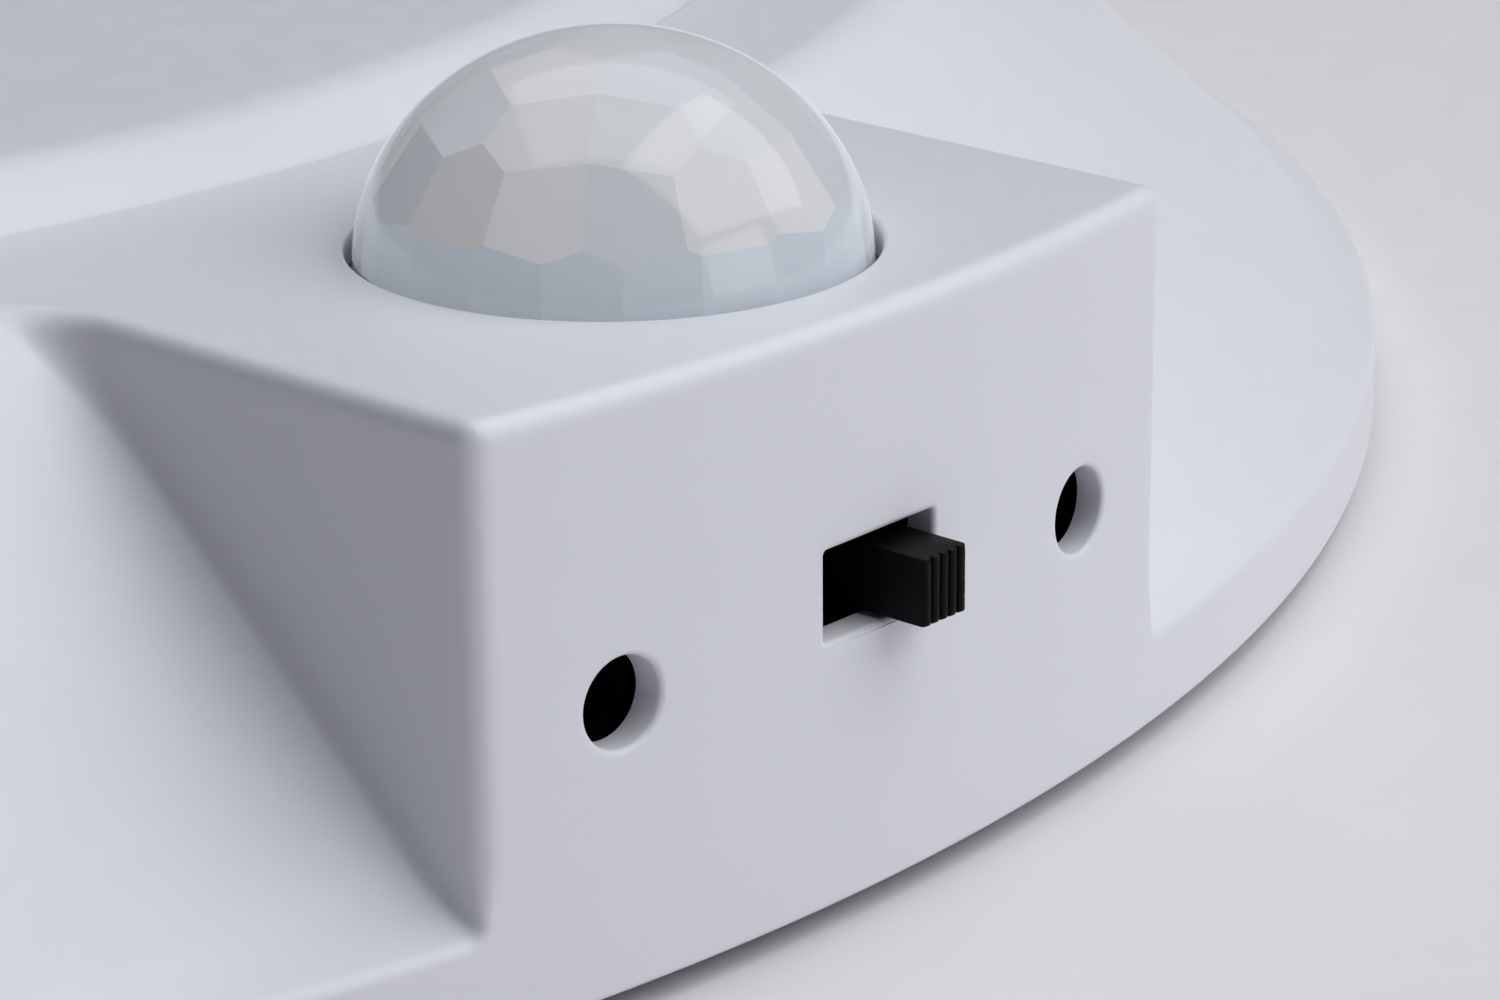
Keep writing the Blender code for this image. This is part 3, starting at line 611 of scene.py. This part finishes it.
class Paint:
    """A node material built up step by step around one Principled shader."""

    def __init__(self, name, colour, roughness, metallic=0.0):
        self.material = bpy.data.materials.new(name)
        self.material.use_nodes = True
        self.tree = self.material.node_tree
        self.shader = self.tree.nodes["Principled BSDF"]
        self.colour = colour
        self.set("Base Color", (*colour, 1))
        self.set("Roughness", roughness)
        self.set("Metallic", metallic)

    def set(self, socket, value):
        self.shader.inputs[socket].default_value = value

    def node(self, kind, **settings):
        made = self.tree.nodes.new(kind)
        for name, value in settings.items():
            setattr(made, name, value)
        return made

    def link(self, source, target):
        self.tree.links.new(source, target)

    def noise(self, scale, detail=3.0, stretch=(1, 1, 1)):
        """Noise over the object's own coordinates, in features per metre."""
        place = self.node("ShaderNodeTexCoord")
        mapping = self.node("ShaderNodeMapping")
        mapping.inputs["Scale"].default_value = stretch
        made = self.node("ShaderNodeTexNoise")
        made.inputs["Scale"].default_value = scale
        made.inputs["Detail"].default_value = detail
        self.link(place.outputs["Object"], mapping.inputs["Vector"])
        self.link(mapping.outputs["Vector"], made.inputs["Vector"])
        return made.outputs["Fac"]

    def spread(self, value, low, high):
        """A 0..1 value spread over another range."""
        made = self.node("ShaderNodeMapRange")
        made.inputs["From Min"].default_value = 0.3
        made.inputs["From Max"].default_value = 0.7
        made.inputs["To Min"].default_value = low
        made.inputs["To Max"].default_value = high
        self.link(value, made.inputs["Value"])
        return made.outputs["Result"]

    def mottle(self, scale, amount, other=None):
        """Colour that drifts a little over the surface."""
        other = other or tuple(c * (1 - amount) for c in self.colour)
        ramp = self.node("ShaderNodeMix", data_type="RGBA")
        ramp.inputs["A"].default_value = (*self.colour, 1)
        ramp.inputs["B"].default_value = (*other, 1)
        self.link(self.spread(self.noise(scale), 0, 1), ramp.inputs["Factor"])
        self.link(ramp.outputs["Result"], self.shader.inputs["Base Color"])
        return self

    def rough(self, scale, low, high):
        self.link(self.spread(self.noise(scale, 4.0), low, high), self.shader.inputs["Roughness"])
        return self

    def grain(self, scale, height, stretch=(1, 1, 1), detail=3.0):
        """Fine relief, height in metres."""
        bump = self.node("ShaderNodeBump")
        bump.inputs["Strength"].default_value = 1.0
        bump.inputs["Distance"].default_value = height
        self.link(self.noise(scale, detail, stretch), bump.inputs["Height"])
        self.link(bump.outputs["Normal"], self.shader.inputs["Normal"])
        return self


def white_abs():
    paint = Paint("white_abs", (0.775, 0.785, 0.845), 0.40)
    paint.mottle(18, 0.0, (0.76, 0.773, 0.835)).rough(900, 0.36, 0.44).grain(1500, 0.004 * MM)
    paint.set("Subsurface Weight", 0.10)
    paint.set("Subsurface Radius", (1.0, 1.0, 1.0))
    paint.set("Subsurface Scale", 0.0008)
    return paint.material


def inner_white():
    paint = Paint("inner_white_abs", (0.70, 0.70, 0.71), 0.5)
    return paint.mottle(60, 0.04).rough(700, 0.45, 0.6).grain(900, 0.008 * MM).material


def opal():
    paint = Paint("opal_acrylic", (0.76, 0.775, 0.85), 0.32)
    paint.mottle(14, 0.02).rough(500, 0.28, 0.38).grain(1200, 0.003 * MM)
    paint.set("Subsurface Weight", 0.25)
    paint.set("Subsurface Radius", (1.0, 1.0, 1.0))
    paint.set("Subsurface Scale", 0.003)
    return paint.material


def lens_skin():
    """Smooth outer skin of the milky lens: clear enough head-on to show the facets inside,
    and whiter where it is seen edge-on, through more of the plastic."""
    paint = Paint("lens_skin", (0.57, 0.59, 0.625), 0.09)
    paint.mottle(120, 0.03)
    paint.set("Emission Color", (0.93, 0.95, 1.0, 1))
    paint.set("Emission Strength", SKIN_LIGHT)
    paint.set("Specular IOR Level", 1.0)
    paint.set("IOR", 1.65)
    edge = paint.node("ShaderNodeLayerWeight")
    edge.inputs["Blend"].default_value = 0.5
    milk = paint.node("ShaderNodeMapRange")
    milk.inputs["From Min"].default_value = 0.45
    milk.inputs["To Min"].default_value = 0.33
    milk.inputs["To Max"].default_value = 0.92
    paint.link(edge.outputs["Facing"], milk.inputs["Value"])
    paint.link(milk.outputs["Result"], paint.shader.inputs["Alpha"])
    return paint.material


def lens_rim():
    """The solid ring and flange below the facets."""
    paint = Paint("lens_rim", (0.70, 0.73, 0.79), 0.2)
    return paint.mottle(160, 0.04).rough(600, 0.16, 0.26).material


def lens_facets():
    """Inner faces of the lens. Low down they are bluish and darker: painted shade, standing for
    the dark hollow seen through them. Above, each has a random painted brightness and warmth,
    standing for the light that facet bends its own way. All of them glow a little: painted
    light for what the milky plastic spreads round the dome.
    """
    paint = Paint("lens_facets", (0.85, 0.90, 0.95), 0.35)
    tone = paint.node("ShaderNodeVertexColor", layer_name="facet_tone")
    parts = paint.node("ShaderNodeSeparateColor")
    paint.link(tone.outputs["Color"], parts.inputs["Color"])
    warmth = paint.node("ShaderNodeMix", data_type="RGBA")
    # Cool end, all of it on the bottom row: painted shade of the dark hollow behind the lens.
    warmth.inputs["A"].default_value = (0.68, 0.77, 0.86, 1)
    warmth.inputs["B"].default_value = (0.90, 0.88, 0.90, 1)
    paint.link(parts.outputs["Red"], warmth.inputs["Factor"])
    # Each facet's painted brightness, standing for the light it bends its own way.
    shade_of = paint.node("ShaderNodeMapRange")
    shade_of.inputs["To Min"].default_value = 0.72
    shade_of.inputs["To Max"].default_value = 1.0
    paint.link(parts.outputs["Green"], shade_of.inputs["Value"])
    scaled = paint.node("ShaderNodeVectorMath", operation="SCALE")
    paint.link(warmth.outputs["Result"], scaled.inputs[0])
    paint.link(shade_of.outputs["Result"], scaled.inputs["Scale"])
    dimmed = paint.node("ShaderNodeVectorMath", operation="SCALE")
    dimmed.inputs["Scale"].default_value = 0.6
    paint.link(scaled.outputs["Vector"], dimmed.inputs[0])
    paint.link(dimmed.outputs["Vector"], paint.shader.inputs["Base Color"])
    paint.link(scaled.outputs["Vector"], paint.shader.inputs["Emission Color"])
    paint.set("Emission Strength", SCATTERED_LIGHT)
    return paint.material


def black_plastic():
    paint = Paint("black_plastic", (0.0015, 0.0015, 0.002), 0.5)
    paint.mottle(900, 0.0, (0.003, 0.003, 0.004)).rough(2500, 0.36, 0.5).grain(5000, 0.01 * MM)
    paint.set("Specular IOR Level", 0.1)
    return paint.material


def matt_black():
    paint = Paint("matt_black", (0.003, 0.003, 0.003), 0.75)
    paint.mottle(800, 0.3).rough(2000, 0.7, 0.85).grain(4000, 0.01 * MM)
    paint.set("Specular IOR Level", 0.15)
    return paint.material


def circuit_board():
    paint = Paint("circuit_board", (0.02, 0.12, 0.05), 0.4)
    return paint.mottle(700, 0.0, (0.015, 0.09, 0.04)).rough(1500, 0.35, 0.5) \
        .grain(2500, 0.01 * MM).material


def led_board_white():
    paint = Paint("led_board_white", (0.80, 0.80, 0.79), 0.4)
    return paint.mottle(200, 0.04).rough(900, 0.35, 0.5).material


def plated_steel():
    paint = Paint("plated_steel", (0.60, 0.60, 0.58), 0.3, 1.0)
    return paint.mottle(600, 0.12).rough(1800, 0.22, 0.42) \
        .grain(3000, 0.004 * MM, stretch=(1, 8, 1)).material


def phosphor():
    paint = Paint("led_phosphor", (0.85, 0.68, 0.18), 0.4)
    return paint.mottle(1500, 0.08).rough(2000, 0.35, 0.5).material


def phenolic():
    paint = Paint("phenolic", (0.26, 0.13, 0.05), 0.6)
    return paint.mottle(1200, 0.15).rough(1500, 0.5, 0.7).grain(2500, 0.01 * MM).material


def trimmer_blue():
    paint = Paint("trimmer_blue", (0.012, 0.02, 0.06), 0.5)
    return paint.mottle(900, 0.1).rough(1500, 0.4, 0.6).material


def cell_jacket():
    paint = Paint("cell_jacket", (0.07, 0.09, 0.13), 0.3)
    return paint.mottle(300, 0.15).rough(800, 0.25, 0.4).material


def dark_filter():
    paint = Paint("dark_filter", (0.04, 0.03, 0.05), 0.15)
    return paint.mottle(900, 0.1).rough(1200, 0.1, 0.25).material


def wire_red():
    paint = Paint("red_insulation", (0.45, 0.02, 0.02), 0.4)
    return paint.mottle(500, 0.1).rough(900, 0.35, 0.5).material


def wire_black():
    paint = Paint("black_insulation", (0.015, 0.015, 0.015), 0.4)
    return paint.mottle(500, 0.1).rough(900, 0.35, 0.5).material


def table_top_paint():
    paint = Paint("pale_table", (0.82, 0.80, 0.83), 0.6)
    return paint.mottle(6, 0.015).rough(300, 0.5, 0.6).material


def dress(made, *materials):
    for material in materials:
        made.data.materials.append(material)


SLOT_PAINTS = {
    "inner_white": inner_white, "black_plastic": matt_black, "circuit_board": circuit_board,
    "led_board": led_board_white, "red_wire": wire_red, "black_wire": wire_black,
    "led_phosphor": phosphor, "trimmer_blue": trimmer_blue, "phenolic": phenolic,
    "dark_filter": dark_filter, "cell_jacket": cell_jacket, "plated_steel": plated_steel,
}


def dress_cad_nodes():
    """Every CAD node that is shown takes its slot's finish."""
    made = {}
    for part in frame["record"]["subparts"]:
        slot = part["material_slot"]
        if slot not in SLOT_PAINTS:
            continue
        if slot not in made:
            made[slot] = SLOT_PAINTS[slot]()
        node = NODES[part["node"]]
        for index in range(len(node.material_slots)):
            node.material_slots[index].material = made[slot]


# ---------------------------------------------------------------- camera, floor, light

TARGET = Vector((-3.82, -118.34, 19.27)) * MM
DISTANCE = 210.0 * MM
VIEW_AZIMUTH = 48.49            # from +Y towards +X
VIEW_FALL = 19.73
VIEW_ROLL = -0.40


def camera():
    data = bpy.data.cameras.new("camera")
    data.sensor_width = 36.0
    data.lens = 117.52
    data.clip_start, data.clip_end = 0.01, 20.0
    made = bpy.data.objects.new("camera", data)
    bpy.context.scene.collection.objects.link(made)
    azimuth, fall = radians(VIEW_AZIMUTH), radians(VIEW_FALL)
    ahead = Vector((sin(azimuth) * cos(fall), cos(azimuth) * cos(fall), -sin(fall)))
    made.rotation_mode = "QUATERNION"
    made.rotation_quaternion = ahead.to_track_quat("-Z", "Y") @ Matrix.Rotation(
        radians(VIEW_ROLL), 4, "Z").to_quaternion()
    made.location = TARGET - ahead * DISTANCE
    bpy.context.scene.camera = made


def area_light(name, towards, distance, wide, high, power, colour, across=None):
    """A soft rectangular light, towards being where it stands as seen from the lens dome."""
    data = bpy.data.lights.new(name, "AREA")
    data.shape = "RECTANGLE"
    data.size, data.size_y = wide, high
    data.energy = power
    data.color = colour
    made = bpy.data.objects.new(name, data)
    bpy.context.scene.collection.objects.link(made)
    way = Vector(towards).normalized()
    made.location = Vector((0, DOME_Y, TOP_Z)) + way * distance
    made.rotation_mode = "QUATERNION"
    if across is None:
        made.rotation_quaternion = (-way).to_track_quat("-Z", "Y")
        return
    side = Vector(across)
    side = (side - way * side.dot(way)).normalized()
    axes = Matrix((side, way.cross(side), way)).transposed()
    made.rotation_quaternion = axes.to_quaternion()


def floor():
    made = mesh_object("table_top", [(-3, -3, 0), (3, -3, 0), (3, 3, 0), (-3, 3, 0)],
                       [(0, 1, 2, 3)], smooth=False)
    dress(made, table_top_paint())


def world():
    made = bpy.data.worlds.new("studio")
    bpy.context.scene.world = made
    made.use_nodes = True
    made.node_tree.nodes["Background"].inputs["Color"].default_value = (0.62, 0.80, 1.0, 1)
    made.node_tree.nodes["Background"].inputs["Strength"].default_value = 0.012


dress_cad_nodes()
dress(front_cover(), white_abs())
dress(lens_dome(), lens_skin(), lens_facets(), lens_rim())
dress(switch_knob(), black_plastic())
dress(diffuser(), opal())
camera()
floor()
world()
area_light("key", (0.366, -0.499, 0.785), 1.5, 1.73, 1.43, 16.3, (1.0, 0.995, 0.985),
           across=(0.913, 0.361, -0.19))
area_light("overhead", (0.2, 0.15, 1.0), 2.0, 2.2, 2.2, 19.2, (0.96, 0.98, 1.0))
area_light("front_fill", (0.2, -1.0, 0.18), 1.6, 0.9, 0.9, 4.6, (0.93, 0.96, 1.0))
bpy.context.scene.view_settings.view_transform = "Standard"
